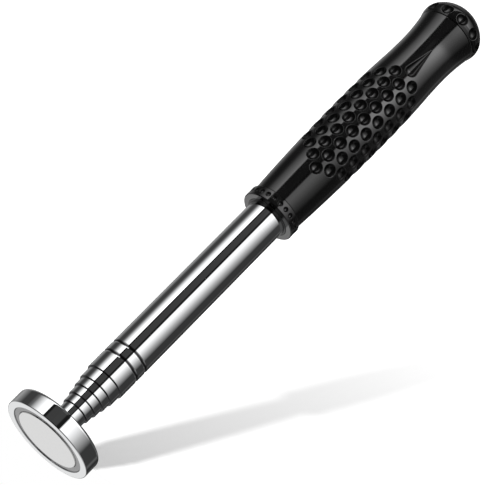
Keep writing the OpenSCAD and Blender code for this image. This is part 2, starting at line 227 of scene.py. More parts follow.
def plain_metal(name, dark, light, roughness, grain_mm):
    """Metal inside the tool, with the mottle of its plating or drawing."""
    material, tree = new_material(name)
    at = put(tree, "ShaderNodeTexCoord").outputs["Object"]
    mottle = put(tree, "ShaderNodeTexNoise", {"Vector": at, "Scale": 1 / (grain_mm * MM), "Detail": 3.0})
    tone = put(tree, "ShaderNodeMix", {"Factor": mottle.outputs[0], 6: linear(dark), 7: linear(light)},
               data_type="RGBA")
    rough = put(tree, "ShaderNodeMapRange", {"Value": mottle.outputs[0], "To Min": roughness,
                                             "To Max": roughness + 0.15})
    shader = put(tree, "ShaderNodeBsdfPrincipled", {
        "Base Color": tone.outputs[2], "Metallic": 1.0, "Roughness": rough.outputs[0]})
    put(tree, "ShaderNodeOutputMaterial", {"Surface": shader.outputs[0]})
    return material


TUBE_CHROME = polished_chrome("chrome_plate_on_drawn_tube", 3000.0, 60.0)
CUP_CHROME = polished_chrome("chrome_plate_on_turned_cup", 2000.0, 90.0)
MAGNET_NICKEL = nickel_magnet()
RING_GREY = matt_aluminium()
HANDLE_BLACK = gloss_black_abs()
BUSH_BLACK = matt_black_nylon()
ZINC_STEEL = plain_metal("zinc_plated_steel", "#a9acb0", "#c3c6ca", 0.28, 1.5)
SPRING_BRONZE = plain_metal("drawn_spring_bronze", "#a9793c", "#c79a58", 0.22, 2.0)


# Turned pieces

def turning_tree():
    """Geometry Nodes tree that turns a line of points (x, radius) about the tool's axis."""
    tree = bpy.data.node_groups.new("turning", "GeometryNodeTree")
    for name, way, kind in (("Outline", "INPUT", "Geometry"), ("Sides", "INPUT", "Int"),
                            ("Material", "INPUT", "Material"), ("Piece", "OUTPUT", "Geometry")):
        tree.interface.new_socket(name, in_out=way, socket_type="NodeSocket" + kind)
    given = put(tree, "NodeGroupInput").outputs
    count = put(tree, "GeometryNodeAttributeDomainSize", {"Geometry": given["Outline"]}).outputs["Point Count"]
    rows = put(tree, "ShaderNodeMath", {0: given["Sides"], 1: 1.0}, operation="ADD")
    grid = put(tree, "GeometryNodeMeshGrid", {"Vertices X": rows.outputs[0], "Vertices Y": count})
    # Each row of the grid is the line of points, turned by its share of a full turn
    index = put(tree, "GeometryNodeInputIndex").outputs[0]
    row = put(tree, "ShaderNodeMath", {0: index, 1: count}, operation="DIVIDE")
    row = put(tree, "ShaderNodeMath", {0: row.outputs[0]}, operation="FLOOR")
    along = put(tree, "ShaderNodeMath", {0: index, 1: count}, operation="FLOORED_MODULO")
    point = put(tree, "GeometryNodeSampleIndex", {
        "Geometry": given["Outline"], "Value": put(tree, "GeometryNodeInputPosition").outputs[0],
        "Index": along.outputs[0]}, data_type="FLOAT_VECTOR")
    part = put(tree, "ShaderNodeSeparateXYZ", {0: point.outputs[0]}).outputs
    share = put(tree, "ShaderNodeMath", {0: row.outputs[0], 1: given["Sides"]}, operation="DIVIDE")
    angle = put(tree, "ShaderNodeMath", {0: share.outputs[0], 1: TURN}, operation="MULTIPLY").outputs[0]
    sine = put(tree, "ShaderNodeMath", {0: angle}, operation="SINE")
    cosine = put(tree, "ShaderNodeMath", {0: angle}, operation="COSINE")
    left = put(tree, "ShaderNodeMath", {0: part[1], 1: sine.outputs[0]}, operation="MULTIPLY")
    back = put(tree, "ShaderNodeMath", {0: left.outputs[0], 1: -1.0}, operation="MULTIPLY")
    up = put(tree, "ShaderNodeMath", {0: part[1], 1: cosine.outputs[0]}, operation="MULTIPLY")
    place = put(tree, "ShaderNodeCombineXYZ", {0: part[0], 1: back.outputs[0], 2: up.outputs[0]})
    laid = put(tree, "GeometryNodeSetPosition", {"Geometry": grid.outputs[0], "Position": place.outputs[0]})
    whole = put(tree, "GeometryNodeMergeByDistance", {"Geometry": laid.outputs[0], "Distance": CLOSE_TURNING})
    smooth = put(tree, "GeometryNodeSetShadeSmooth", {"Geometry": whole.outputs[0], "Shade Smooth": True})
    plain = put(tree, "GeometryNodeRealizeInstances", {"Geometry": smooth.outputs[0]})
    dressed = put(tree, "GeometryNodeSetMaterial", {
        "Geometry": plain.outputs[0], "Material": given["Material"]})
    put(tree, "NodeGroupOutput", {0: dressed.outputs[0]})
    return tree


TURNING = turning_tree()


def outline(corners, closed=True):
    """Outline through corners (x, radius, rounding), with an arc at each rounded one."""
    points = []
    last = len(corners) - 1
    for i, (x, r, rounding) in enumerate(corners):
        here = np.array((x, r))
        if rounding == 0 or (not closed and i in (0, last)):
            points.append(here)
            continue
        back = np.array(corners[i - 1][:2]) - here
        ahead = np.array(corners[(i + 1) % len(corners)][:2]) - here
        back, ahead = back / np.linalg.norm(back), ahead / np.linalg.norm(ahead)
        half = math.acos(np.clip(back @ ahead, -1, 1)) / 2
        reach = rounding / math.tan(half)
        middle = (back + ahead) / np.linalg.norm(back + ahead)
        centre = here + middle * rounding / math.sin(half)
        points.append(here + back * (reach + FLANK))
        for step in range(ARC_STEPS + 1):
            turn = (2 * step / ARC_STEPS - 1) * (math.pi / 2 - half)
            out = -middle * math.cos(turn) + (ahead - back) / np.linalg.norm(ahead - back) * math.sin(turn)
            points.append(centre + rounding * out)
        points.append(here + ahead * (reach + FLANK))
    if closed:
        points.append(points[0])
    return points


def turned_mesh(name, points, material):
    """Plain mesh of an outline that the turning tree has turned."""
    line = bpy.data.meshes.new(name)
    line.from_pydata([(x * MM, max(r, 0) * MM, 0) for x, r in points], [], [])
    piece = bpy.data.objects.new(name + "_outline", line)
    bpy.context.scene.collection.objects.link(piece)
    turning = piece.modifiers.new("turning", "NODES")
    turning.node_group = TURNING
    for socket in TURNING.interface.items_tree:
        if socket.name == "Sides":
            turning[socket.identifier] = SIDES
        if socket.name == "Material":
            turning[socket.identifier] = material
    shapes = bpy.context.evaluated_depsgraph_get()
    mesh = bpy.data.meshes.new_from_object(piece.evaluated_get(shapes), depsgraph=shapes)
    piece.modifiers.remove(turning)
    bpy.data.objects.remove(piece)
    return mesh


def finish_piece(name, mesh, body, material, painted_shade=()):
    """Closes a mesh, turns its faces outwards and puts it in its node's place on a body.
    Points between the ends of a stretch of x that is painted dark as shade are marked."""
    shape = bmesh.new()
    shape.from_mesh(mesh)
    bmesh.ops.remove_doubles(shape, verts=shape.verts, dist=CLOSE_PIECE)
    bmesh.ops.recalc_face_normals(shape, faces=shape.faces)
    for face in shape.faces:
        face.smooth = True
    for edge in shape.edges:
        edge.smooth = edge.calc_face_angle(0) < SHARP
    shape.to_mesh(mesh)
    shape.free()
    mesh.name = name
    mesh.materials.clear()
    mesh.materials.append(material)
    normals = mesh.attributes.get("wall_normal")
    if normals:
        mesh.normals_split_custom_set_from_vertices([d.vector[:] for d in normals.data])
        mesh.attributes.remove(mesh.attributes["wall_normal"])
    if painted_shade:
        marks = mesh.attributes.new("painted_shade", "FLOAT", "POINT")
        for mark, point in zip(marks.data, mesh.vertices):
            mark.value = any(start <= point.co.x / MM <= end for start, end in painted_shade)
    piece = bpy.data.objects.new(name + "_look", mesh)
    bpy.context.scene.collection.objects.link(piece)
    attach(piece, body)
    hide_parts(name)


def magnet_head():
    cup = outline([
        (0, CUP_BORE_R, RIM_IN_ROUND), (0, CUP_R, RIM_ROUND), (CUP_H, CUP_R, CUP_BACK_ROUND),
        (CUP_H, SCREW_HOLE_R, 0), (CUP_FLOOR + SCREW_SINK_R - SCREW_HOLE_R, SCREW_HOLE_R, 0),
        (CUP_FLOOR, SCREW_SINK_R, 0), (CUP_FLOOR, CUP_BORE_R, FINE_ROUND)])
    disc = outline([
        (0, 0, 0), (0, MAGNET_R - MAGNET_EDGE, MAGNET_ROUND), (MAGNET_EDGE, MAGNET_R, MAGNET_ROUND),
        (MAGNET_T, MAGNET_R, FINE_ROUND), (MAGNET_T, 0, 0)], closed=False)
    ring = outline([
        (RING_FRONT, RING_IN_R, FINE_ROUND), (RING_FRONT, RING_OUT_R, FINE_ROUND), (MAGNET_T, RING_OUT_R, 0),
        (MAGNET_T, RING_IN_R, 0)])
    for name, points, slot, material in (
            ("magnet_cup", cup, "chromed_cup", CUP_CHROME),
            ("magnet_disc", disc, "nickel_magnet", MAGNET_NICKEL),
            ("spacer_ring", ring, "grey_ring", RING_GREY)):
        finish_piece(name, turned_mesh(name, points, material), "section_6", material)


def groove_corners(at, r, depth, rounding):
    """Rolled groove: two flanks that meet in a soft bottom."""
    half = GROOVE_W / 2
    return [(at - half, r, rounding), (at, r - depth, rounding), (at + half, r, rounding)]


def stop_corners(at, r):
    """Ring round a sliding tube: its bead or its rear flange."""
    return [(at, r, 0), (at, r + LIP, STOP_ROUND), (at + STOP_W, r + LIP, STOP_ROUND)]


def tube(k):
    """Tube number k, with a rolled-in neck, the outer one's grooves, or a sliding one's stops."""
    r = TUBE_R[k - 1]
    bore = r - TUBE_WALL
    front = TUBE_FRONT[k - 1]
    # Stretches of x painted dark as shade: each neck's rolled front edge, and on the outer tube the grooves
    painted_shade = []
    if k < len(TUBE_R):
        corners = [(front + NECK_LEN + LIP, bore, 0), (front + NECK_LEN, bore - LIP, 0),
                   (front, bore - LIP, LIP_ROUND), (front, r, NECK_ROUND)]
        painted_shade.append((front - FLANK, front + PAINTED_SHADE_EDGE))
    else:
        corners = [(front, bore, TIP_IN_ROUND), (front, r, TIP_OUT_ROUND)]
    if k == 1:
        name, body = "outer_tube", "handle"
        for at in GROOVES:
            corners += groove_corners(at, r, GROOVE_DEPTH, GROOVE_ROUND)
            painted_shade.append((at - PAINTED_SHADE_GROOVE, at + PAINTED_SHADE_GROOVE))
        corners += [(OUTER_REAR, r, 0), (OUTER_REAR, bore, 0)]
        for at in GROOVES[::-1]:
            corners += groove_corners(at, bore, LIP, 0)[::-1]
    else:
        name, body = f"section_tube_{k}", f"section_{k}"
        corners += stop_corners(BEAD_AT, r) + [(BEAD_AT + STOP_W, r, 0)]
        corners += stop_corners(SLIDE_REAR - STOP_W, r) + [(SLIDE_REAR, bore, 0)]
    mesh = turned_mesh(name, outline(corners), TUBE_CHROME)
    finish_piece(name, mesh, body, TUBE_CHROME, painted_shade)


def bush():
    corners = [(BUSH_FRONT, BUSH_IN_R, BUSH_IN_ROUND), (BUSH_FRONT, BUSH_OUT_R, BUSH_OUT_ROUND),
               (BUSH_REAR, BUSH_OUT_R, 0), (BUSH_REAR, BUSH_IN_R, 0)]
    mesh = turned_mesh("tube_bush", outline(corners), BUSH_BLACK)
    finish_piece("tube_bush", mesh, "handle", BUSH_BLACK)


# Walls with hollows. Each hollow follows the curve of its wall, so no two rims on the grip are alike.

# Half-width of the rounding on a rim, and distance between the points of the wall round it
DIMPLE_SOFT, PIT_SOFT, CAP_SOFT = 0.14, 0.07, 0.13
GRIP_SPACING, LAND_SPACING, CAP_SPACING = 0.75, 0.3, 0.6
# Stretch along a wall that has hollows. On the collar it ends this far from the land's edges.
GRIP_BAND, CAP_BAND, LAND_EDGE = (10.0, 69.5), (0.15, 5.2), 0.15
# Steps of the plain curves beside it
TAIL_STEPS, NOSE_STEPS, CAP_STEPS = 16, 12, 20
# Points round a dimple, the turn of each dimple's points against the last one's, and points round the flute
RIM_POINTS, GRIP_PHASE, CAP_PHASE = 36, 0.013, 0.05
FLUTE_SIDE_POINTS, FLUTE_TAIL_POINTS, FLUTE_NOSE_POINTS = 26, 9, 21
# Steps round the rim, and from there to the middle
RIM_STEPS = (0.25, 0.5, 0.75)
BOWL_STEPS = (0.86, 0.7, 0.54, 0.38, 0.22, 0.0)
# Share of painted shade on a hollow's rings from its rim to its middle: most on the walls under the rim, none
# on the floor
HOLLOW_SHADE_STEPS = (0.0, 0.35, 0.7, 1.0, 1.0, 0.8, 0.35, 0.0, 0.0, 0.0)
# Within these reaches a hollow's rim and its floor are looked for. The rounding takes this share at most.
RIM_WITHIN, FLOOR_WITHIN, ROUNDING_SHARE = 4.0, 3.0, 0.5
# Halvings of such a search, and the small steps that slopes are worked out over
HALVINGS, SLOPE_STEP, PROBE = 40, 0.01, 1e-4
# In shares of the spacing: how uneven the points of a wall lie, and how far they keep from a rim
UNEVEN, KEEP_OFF, UNEVEN_SEED = 0.12, 0.55, 7
# Width of the strip that is repeated past each end of a wall laid flat, and how close its places count as one
SEAM_STRIP, SAME_PLACE = 9.0, 1e-7


def on_wall(wall, m, turn):
    """Points and outward normals of a turned wall at distances m along it and turns round it."""
    x, r, lean_x, lean_r = wall(np.asarray(m, float))
    s, c = np.sin(turn), np.cos(turn)
    return np.stack((x, -r * s, r * c), -1), np.stack((lean_x, -lean_r * s, lean_r * c), -1)


def arc_fall(radius, run):
    """Fall of an arc that starts level."""
    return radius - np.sqrt(radius ** 2 - run ** 2)


def level_arc(run, rise):
    """Radius of an arc that starts level and covers a run and a rise."""
    return (run ** 2 + rise ** 2) / (2 * rise)


FRONT_ARC = level_arc(BELLY_AT, BELLY_R - GRIP_FRONT_R)
BELLY_ARC = level_arc(WAIST_AT - BELLY_AT, BELLY_R - WAIST_R) - WAIST_HOLLOW
FLARE_ARC = level_arc(GRIP_LEN - WAIST_AT, GRIP_REAR_R - WAIST_R)
BLEND_AT = BELLY_AT + (WAIST_AT - BELLY_AT) * BELLY_ARC / (BELLY_ARC + WAIST_HOLLOW)


def grip_r(t):
    """Radius of the grip at distance t from its front end: four arcs, level at the belly and the waist."""
    return np.select([t < BELLY_AT, t < BLEND_AT, t < WAIST_AT],
                     [BELLY_R - arc_fall(FRONT_ARC, BELLY_AT - t), BELLY_R - arc_fall(BELLY_ARC, t - BELLY_AT),
                      WAIST_R + arc_fall(WAIST_HOLLOW, WAIST_AT - t)],
                     WAIST_R + arc_fall(FLARE_ARC, t - WAIST_AT))


def grip_wall(m):
    slope = (grip_r(m + SLOPE_STEP) - grip_r(m - SLOPE_STEP)) / (2 * SLOPE_STEP)
    size = np.sqrt(1 + slope ** 2)
    return GRIP_FRONT + m, grip_r(m), -slope / size, 1 / size


def land_wall(m):
    return LAND_FRONT + m, np.full_like(m, COLLAR_R), np.zeros_like(m), np.ones_like(m)


CAP_R = CAP_FRONT_R + float(arc_fall(CAP_SHOULDER_R, CAP_SHOULDER))
CAP_DEPTH = CAP_LEN - CAP_SHOULDER
CAP_END_ARC = ((CAP_DEPTH ** 2 + CAP_R ** 2 - 2 * CAP_R * CAP_SHOULDER_R) / (2 * (CAP_DEPTH - CAP_SHOULDER_R)))
CAP_END_X = CAP_FRONT + CAP_LEN - CAP_END_ARC
SHOULDER_START = -math.asin(CAP_SHOULDER / CAP_SHOULDER_R)
SHOULDER_END = math.atan2(CAP_FRONT + CAP_SHOULDER - CAP_END_X, CAP_R - CAP_SHOULDER_R)
SHOULDER_LEN = (SHOULDER_END - SHOULDER_START) * CAP_SHOULDER_R
CAP_WALL_LEN = SHOULDER_LEN + (math.pi / 2 - SHOULDER_END) * CAP_END_ARC


def cap_wall(m):
    """Shoulder arc of the cap that runs into its wider end arc."""
    on_shoulder = m < SHOULDER_LEN
    lean = np.where(on_shoulder, SHOULDER_START + m / CAP_SHOULDER_R,
                    SHOULDER_END + (m - SHOULDER_LEN) / CAP_END_ARC)
    arc = np.where(on_shoulder, CAP_SHOULDER_R, CAP_END_ARC)
    x = np.where(on_shoulder, CAP_FRONT + CAP_SHOULDER, CAP_END_X) + arc * np.sin(lean)
    r = np.where(on_shoulder, CAP_R - CAP_SHOULDER_R, 0.0) + arc * np.cos(lean)
    return x, r, np.sin(lean), np.cos(lean)


def ball_for(width, depth):
    """Radius of the ball that leaves a hollow of this width and depth."""
    return (width ** 2 / 4 + depth ** 2) / (2 * depth)


def ball_hollow(wall, m, turn, width, depth, square=True, phase=0.0):
    """Round hollow: its body, the points that its rays start from and their directions on the wall.
    A square one is set by the wall's normal, another straight out from the axis."""
    ball = ball_for(width, depth)
    point, normal = on_wall(wall, m, turn)
    if not square:
        normal = np.array((0, -math.sin(turn), math.cos(turn)))
    centre = point + normal * (ball - depth)
    ray = phase + np.arange(RIM_POINTS) * TURN / RIM_POINTS
    return {
        "body": lambda p: np.linalg.norm(p - centre, axis=-1) - ball,
        "from": np.stack((np.full(RIM_POINTS, m), np.zeros(RIM_POINTS)), -1),
        "ray": np.stack((np.cos(ray), np.sin(ray)), -1),
        "turn": turn, "r": float(wall(np.asarray(m, float))[1])}


def drop_hollow(turn):
    """Drop-shaped flute: a ball that runs out in a cone, with its point just outside the wall."""
    ball = ball_for(DIMPLE_D, DIMPLE_DEPTH)
    out = np.array((0, -math.sin(turn), math.cos(turn)))
    r = float(grip_r(np.float64(FLUTE_AT)))
    start = np.array((GRIP_FRONT + FLUTE_AT, 0, 0)) + out * (r + ball - DIMPLE_DEPTH)
    point_r = float(grip_r(np.float64(FLUTE_AT + FLUTE_LEN))) + FLUTE_LIFT
    point = np.array((GRIP_FRONT + FLUTE_AT + FLUTE_LEN, 0, 0)) + out * point_r
    reach = np.linalg.norm(point - start)
    axis = (point - start) / reach
    touch = math.asin(ball / reach)

    def body(p):
        away = p - start
        along = away @ axis
        aside = np.linalg.norm(away - along[..., None] * axis, axis=-1)
        cone = aside * math.cos(touch) - (reach - along) * math.sin(touch)
        sphere = np.linalg.norm(away, axis=-1) - ball
        return np.where(along > ball * math.sin(touch), cone, sphere)

    # Rays fan out at both ends and lie across the flute between them
    end = halve(np.zeros(1), np.full(1, FLUTE_LEN),
                lambda t: body(on_wall(grip_wall, FLUTE_AT + t, turn)[0]) > 0)[0]
    quarter = math.pi / 2
    side = np.linspace(0.0, end, FLUTE_SIDE_POINTS)
    tail = np.linspace(quarter, -quarter, FLUTE_TAIL_POINTS)[1:-1]
    nose = np.linspace(-quarter, -3 * math.pi / 2, FLUTE_NOSE_POINTS)[1:-1]
    starts = np.concatenate((side, np.full(len(tail), end), side[::-1], np.zeros(len(nose)))) + FLUTE_AT
    angles = np.concatenate((np.full(len(side), quarter), tail, np.full(len(side), -quarter), nose))
    return {"body": body, "from": np.stack((starts, np.zeros(len(starts))), -1),
            "ray": np.stack((np.cos(angles), np.sin(angles)), -1), "turn": turn, "r": r}


def halve(low, high, outside):
    """Where a test turns true between low and high, by halving."""
    for _ in range(HALVINGS):
        middle = (low + high) / 2
        past = outside(middle)
        low, high = np.where(past, low, middle), np.where(past, middle, high)
    return (low + high) / 2


def hollow_rings(wall, hollow, soft):
    """Rings of a hollow from the wall to its middle: flat places of the first, then points and normals."""
    def place(reach):
        flat = hollow["from"] + hollow["ray"] * reach[:, None]
        return flat[:, 0], hollow["turn"] + flat[:, 1] / hollow["r"]

    body = hollow["body"]
    none = np.zeros(len(hollow["ray"]))
    rim = halve(none, none + RIM_WITHIN, lambda reach: body(on_wall(wall, *place(reach))[0]) > 0)

    def floor(reach):
        point, normal = on_wall(wall, *place(reach))
        depth = halve(none, none + FLOOR_WITHIN, lambda d: body(point - normal * d[:, None]) > 0)
        return point - normal * depth[:, None]

    def inward(point):
        steps = np.eye(3) * PROBE
        slope = np.stack([body(point - s) - body(point + s) for s in steps], -1)
        return slope / np.linalg.norm(slope, axis=-1, keepdims=True)

    inner = np.maximum(rim - soft, rim * ROUNDING_SHARE)
    outer_point, outer_normal = on_wall(wall, *place(rim + soft))
    corner = on_wall(wall, *place(rim))[0]
    inner_point = floor(inner)
    inner_normal = inward(inner_point)
    rings = [(outer_point, outer_normal)]
    for share in RIM_STEPS:
        point = (outer_point * (1 - share) ** 2 + corner * 2 * share * (1 - share) + inner_point * share ** 2)
        normal = outer_normal * (1 - share) + inner_normal * share
        rings.append((point, normal / np.linalg.norm(normal, axis=-1, keepdims=True)))
    rings.append((inner_point, inner_normal))
    for share in BOWL_STEPS:
        point = floor(inner * share)
        rings.append((point, inward(point)))
    return np.stack(place(rim + soft), -1), rings


def points_between(wall, m_from, m_to, mean_r, hollows, sunk, spacing):
    """Flat places between the hollows, in staggered rows.
    They lie a little uneven, so that no four are on one circle."""
    uneven = np.random.default_rng(UNEVEN_SEED)
    rows = max(int((m_to - m_from) / spacing), 1)
    around = int(TURN * mean_r / spacing)
    m, turn = np.meshgrid(m_from + (np.arange(1, rows) / rows) * (m_to - m_from),
                          np.arange(around) * TURN / around, indexing="ij")
    turn = turn + (np.arange(1, rows) % 2)[:, None] * TURN / around / 2
    m = m + uneven.uniform(-UNEVEN, UNEVEN, m.shape) * spacing
    turn = (turn + uneven.uniform(-UNEVEN, UNEVEN, m.shape) * spacing / mean_r) % TURN
    loose = np.stack((m.ravel(), turn.ravel()), -1)
    points = on_wall(wall, loose[:, 0], loose[:, 1])[0]
    keep = np.ones(len(loose), bool)
    for hollow, rings in zip(hollows, sunk):
        rim = rings[0][0]
        middle = rim.mean(0)
        near = np.flatnonzero(np.linalg.norm(points - middle, axis=-1)
                              < np.linalg.norm(rim - middle, axis=-1).max() + spacing)
        gap = np.linalg.norm(points[near][:, None] - rim[None], axis=-1).min(1)
        keep[near] &= (gap > KEEP_OFF * spacing) & (hollow["body"](points[near]) > 0)
    return loose[keep]


def faces_between(flat, owner, mean_r):
    """Triangles between flat places, apart from those that lie in one hollow.
    The wall is laid flat with a strip repeated past each end, so that the seam closes like any other place."""
    strip = SEAM_STRIP / mean_r
    sheet = [(i, m, turn * mean_r) for i, (m, turn) in enumerate(flat)]
    for i, (m, turn) in enumerate(flat):
        if turn < strip:
            sheet.append((i, m, (turn + TURN) * mean_r))
        if turn > TURN - strip:
            sheet.append((i, m, (turn - TURN) * mean_r))
    laid = delaunay_2d_cdt([Vector((a, b)) for _, a, b in sheet], [], [], 0, SAME_PLACE)
    back = [sheet[ids[0]] for ids in laid[3]]
    faces = []
    for triangle in laid[2]:
        corners = [back[v] for v in triangle]
        owners = {owner[c[0]] for c in corners}
        in_hollow = len(owners) == 1 and -1 not in owners
        if 0 <= sum(c[2] for c in corners) / 3 < TURN * mean_r and not in_hollow:
            faces.append([c[0] for c in corners])
    return faces


def hollowed_wall(wall, m_from, m_to, hollows, soft, spacing):
    """Mesh of a wall between two circles, with hollows let into it: rings in each hollow, triangles between."""
    mean_r = float(wall(np.asarray((m_from + m_to) / 2))[1])
    border = np.arange(SIDES) * TURN / SIDES
    flat = [np.stack((np.full(SIDES, m), border), -1) for m in (m_from, m_to)]
    # Number of the hollow whose rim a place is on, or -1
    owner = [np.full(SIDES, -1)] * 2
    sunk = []
    for i, hollow in enumerate(hollows):
        first, rings = hollow_rings(wall, hollow, soft)
        first[:, 1] %= TURN
        flat.append(first)
        owner.append(np.full(len(first), i))
        sunk.append(rings)
    flat.append(points_between(wall, m_from, m_to, mean_r, hollows, sunk, spacing))
    owner.append(np.full(len(flat[-1]), -1))
    flat, owner = np.concatenate(flat), np.concatenate(owner)
    faces = faces_between(flat, owner, mean_r)

    point, normal = on_wall(wall, flat[:, 0], flat[:, 1])
    # Points, normals and the share of painted shade: first the flat places, then the hollows ring by ring
    point, normal, painted_hollow_shade = [point], [normal], [np.zeros(len(flat))]
    total = len(flat)
    for i, rings in enumerate(sunk):
        outer = np.flatnonzero(owner == i)
        for (ring, lean), hollow_shade_level in zip(rings[1:], HOLLOW_SHADE_STEPS):
            inner = np.arange(total, total + len(ring))
            total += len(ring)
            point.append(ring)
            normal.append(lean)
            painted_hollow_shade.append(np.full(len(ring), hollow_shade_level))
            for a, b, c, d in zip(outer, np.roll(outer, -1), np.roll(inner, -1), inner):
                faces.append((int(a), int(b), int(c), int(d)))
            outer = inner
    mesh = bpy.data.meshes.new("hollowed_wall")
    mesh.from_pydata((np.concatenate(point) * MM).tolist(), [], faces)
    mesh.attributes.new("wall_normal", "FLOAT_VECTOR", "POINT").data.foreach_set(
        "vector", np.concatenate(normal).astype(np.float32).ravel())
    mesh.attributes.new("painted_hollow_shade", "FLOAT", "POINT").data.foreach_set(
        "value", np.concatenate(painted_hollow_shade).astype(np.float32))
    return mesh


def black_piece(name, points, wall_mesh):
    """Handle piece: the plain part of its outline, turned, joined to its hollowed wall."""
    plain = turned_mesh(name, points, HANDLE_BLACK)
    plain.attributes.new("wall_normal", "FLOAT_VECTOR", "POINT")
    plain.attributes.new("painted_hollow_shade", "FLOAT", "POINT")
    shape = bmesh.new()
    shape.from_mesh(wall_mesh)
    shape.from_mesh(plain)
    shape.to_mesh(plain)
    shape.free()
    bpy.data.meshes.remove(wall_mesh)
    finish_piece(name, plain, "handle", HANDLE_BLACK)


def collar():
    length = LAND_REAR - LAND_FRONT
    pits = [ball_hollow(land_wall, length / 2, CREST + i * TURN / PITS, PIT_D, PIT_DEPTH) for i in range(PITS)]
    land = hollowed_wall(land_wall, LAND_EDGE, length - LAND_EDGE, pits, PIT_SOFT, LAND_SPACING)
    points = outline([
        (LAND_REAR - LAND_EDGE, COLLAR_R, 0), (LAND_REAR, COLLAR_R, LAND_REAR_ROUND),
        (COLLAR_REAR, GRIP_FRONT_R, COLLAR_REAR_ROUND), (COLLAR_REAR, SPIGOT_R, 0),
        (COLLAR_REAR + SPIGOT_LEN, SPIGOT_R, 0), (COLLAR_REAR + SPIGOT_LEN, COLLAR_BORE_R, 0),
        (COLLAR_FRONT, COLLAR_BORE_R, MOUTH_ROUND), (COLLAR_FRONT, COLLAR_FACE_R, FACE_ROUND),
        (LAND_FRONT, COLLAR_R, LAND_FRONT_ROUND), (LAND_FRONT + LAND_EDGE, COLLAR_R, 0)], closed=False)
    black_piece("front_collar", points, land)


def grip_dimples():
    """Dimples in columns that start further back, and are shorter, the further they lie from a flute."""
    half = DIMPLE_COLS // 2
    dimples = []
    for c in range(DIMPLE_COLS):
        back = min(c % half, half - c % half)
        for i in range(min(DIMPLE_ROWS, DIMPLE_ROWS + 1 - back)):
            dimples.append(ball_hollow(
                grip_wall, DIMPLE_AT + (i + back / 2) * DIMPLE_PITCH, CREST + c * TURN / DIMPLE_COLS,
                DIMPLE_D, DIMPLE_DEPTH, square=False, phase=GRIP_PHASE * len(dimples)))
    return dimples


def grip():
    hollows = grip_dimples() + [drop_hollow(CREST), drop_hollow(CREST + math.pi)]
    wall = hollowed_wall(grip_wall, *GRIP_BAND, hollows, DIMPLE_SOFT, GRIP_SPACING)
    tail = np.linspace(GRIP_BAND[1], GRIP_LEN, TAIL_STEPS)
    nose = np.linspace(0, GRIP_BAND[0], NOSE_STEPS)
    rear = GRIP_FRONT + GRIP_LEN
    points = outline(
        [(GRIP_FRONT + t, float(grip_r(t)), 0) for t in tail[:-1]]
        + [(rear, GRIP_REAR_R, GRIP_REAR_ROUND), (rear, GRIP_BORE_R, 0),
           (GRIP_FRONT + SOCKET_LEN, GRIP_BORE_R, 0), (GRIP_FRONT + SOCKET_LEN, SOCKET_R, 0),
           (GRIP_FRONT, SOCKET_R, 0), (GRIP_FRONT, GRIP_FRONT_R, GRIP_FRONT_ROUND)]
        + [(GRIP_FRONT + t, float(grip_r(t)), 0) for t in nose[1:]], closed=False)
    black_piece("grip_sleeve", points, wall)


def cap():
    lean = math.asin((CAP_DIMPLE_AT - CAP_SHOULDER) / CAP_SHOULDER_R)
    at = (lean - SHOULDER_START) * CAP_SHOULDER_R
    dimples = [ball_hollow(cap_wall, at, CREST + i * TURN / CAP_DIMPLES, DIMPLE_D, DIMPLE_DEPTH,
                           phase=CAP_PHASE * i) for i in range(CAP_DIMPLES)]
    wall = hollowed_wall(cap_wall, *CAP_BAND, dimples, CAP_SOFT, CAP_SPACING)
    x, r = cap_wall(np.linspace(CAP_BAND[1], CAP_WALL_LEN, CAP_STEPS))[:2]
    edge_x, edge_r = cap_wall(np.asarray(CAP_BAND[0]))[:2]
    corners = [(CAP_FRONT - CAP_SPIGOT_LEN, 0, 0), (CAP_FRONT - CAP_SPIGOT_LEN, CAP_SPIGOT_R, 0),
               (CAP_FRONT, CAP_SPIGOT_R, 0), (CAP_FRONT, CAP_FRONT_R, CAP_FRONT_ROUND),
               (float(edge_x), float(edge_r), 0)]
    points = outline(list(zip(x, r, np.zeros(len(x)))) + corners, closed=False)
    black_piece("end_cap", points, wall)


magnet_head()
for number in range(1, len(TUBE_R) + 1):
    tube(number)
bush()
collar()
grip()
cap()

# Pieces inside the tool keep their solids and get the finish of the real ones
for node, material in [("head_screw", ZINC_STEEL), ("tip_plug", ZINC_STEEL), ("tube_plug", ZINC_STEEL)] + [
        (f"friction_spring_{k}", SPRING_BRONZE) for k in range(2, len(TUBE_R) + 1)]:
    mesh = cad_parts[node].data
    mesh.materials.clear()
    mesh.materials.append(material)


# Studio. Its sizes are metres.

# Camera direction and distance worked out from the photo's perspective, for a picture 492 pixels wide
PICTURE_W, FOCAL_PIXELS, SENSOR_W = 492, 2357, 36
CAMERA_BACK = Vector((-0.4067, -0.3401, 0.8479)).normalized()
CAMERA_DISTANCE = 657 * MM
# The camera looks at a place near the middle of the tool, a little aside of its axis
ASIDE = Vector((0, -0.928, -0.372))
LOOK_AT = Vector((81.4 * MM, 0, 0)) + ASIDE * 0.77 * MM
CLIP = (0.01, 20)


def camera():
    right = Vector((0, 0, 1)).cross(CAMERA_BACK).normalized()
    up = CAMERA_BACK.cross(right)
    data = bpy.data.cameras.new("camera")
    data.sensor_width = SENSOR_W
    data.lens = FOCAL_PIXELS / PICTURE_W * data.sensor_width
    data.clip_start, data.clip_end = CLIP
    view = bpy.data.objects.new("camera", data)
    view.matrix_world = Matrix.Translation(LOOK_AT + CAMERA_BACK * CAMERA_DISTANCE) @ Matrix(
        (right, up, CAMERA_BACK)).transposed().to_4x4()
    bpy.context.scene.collection.objects.link(view)
    bpy.context.scene.camera = view


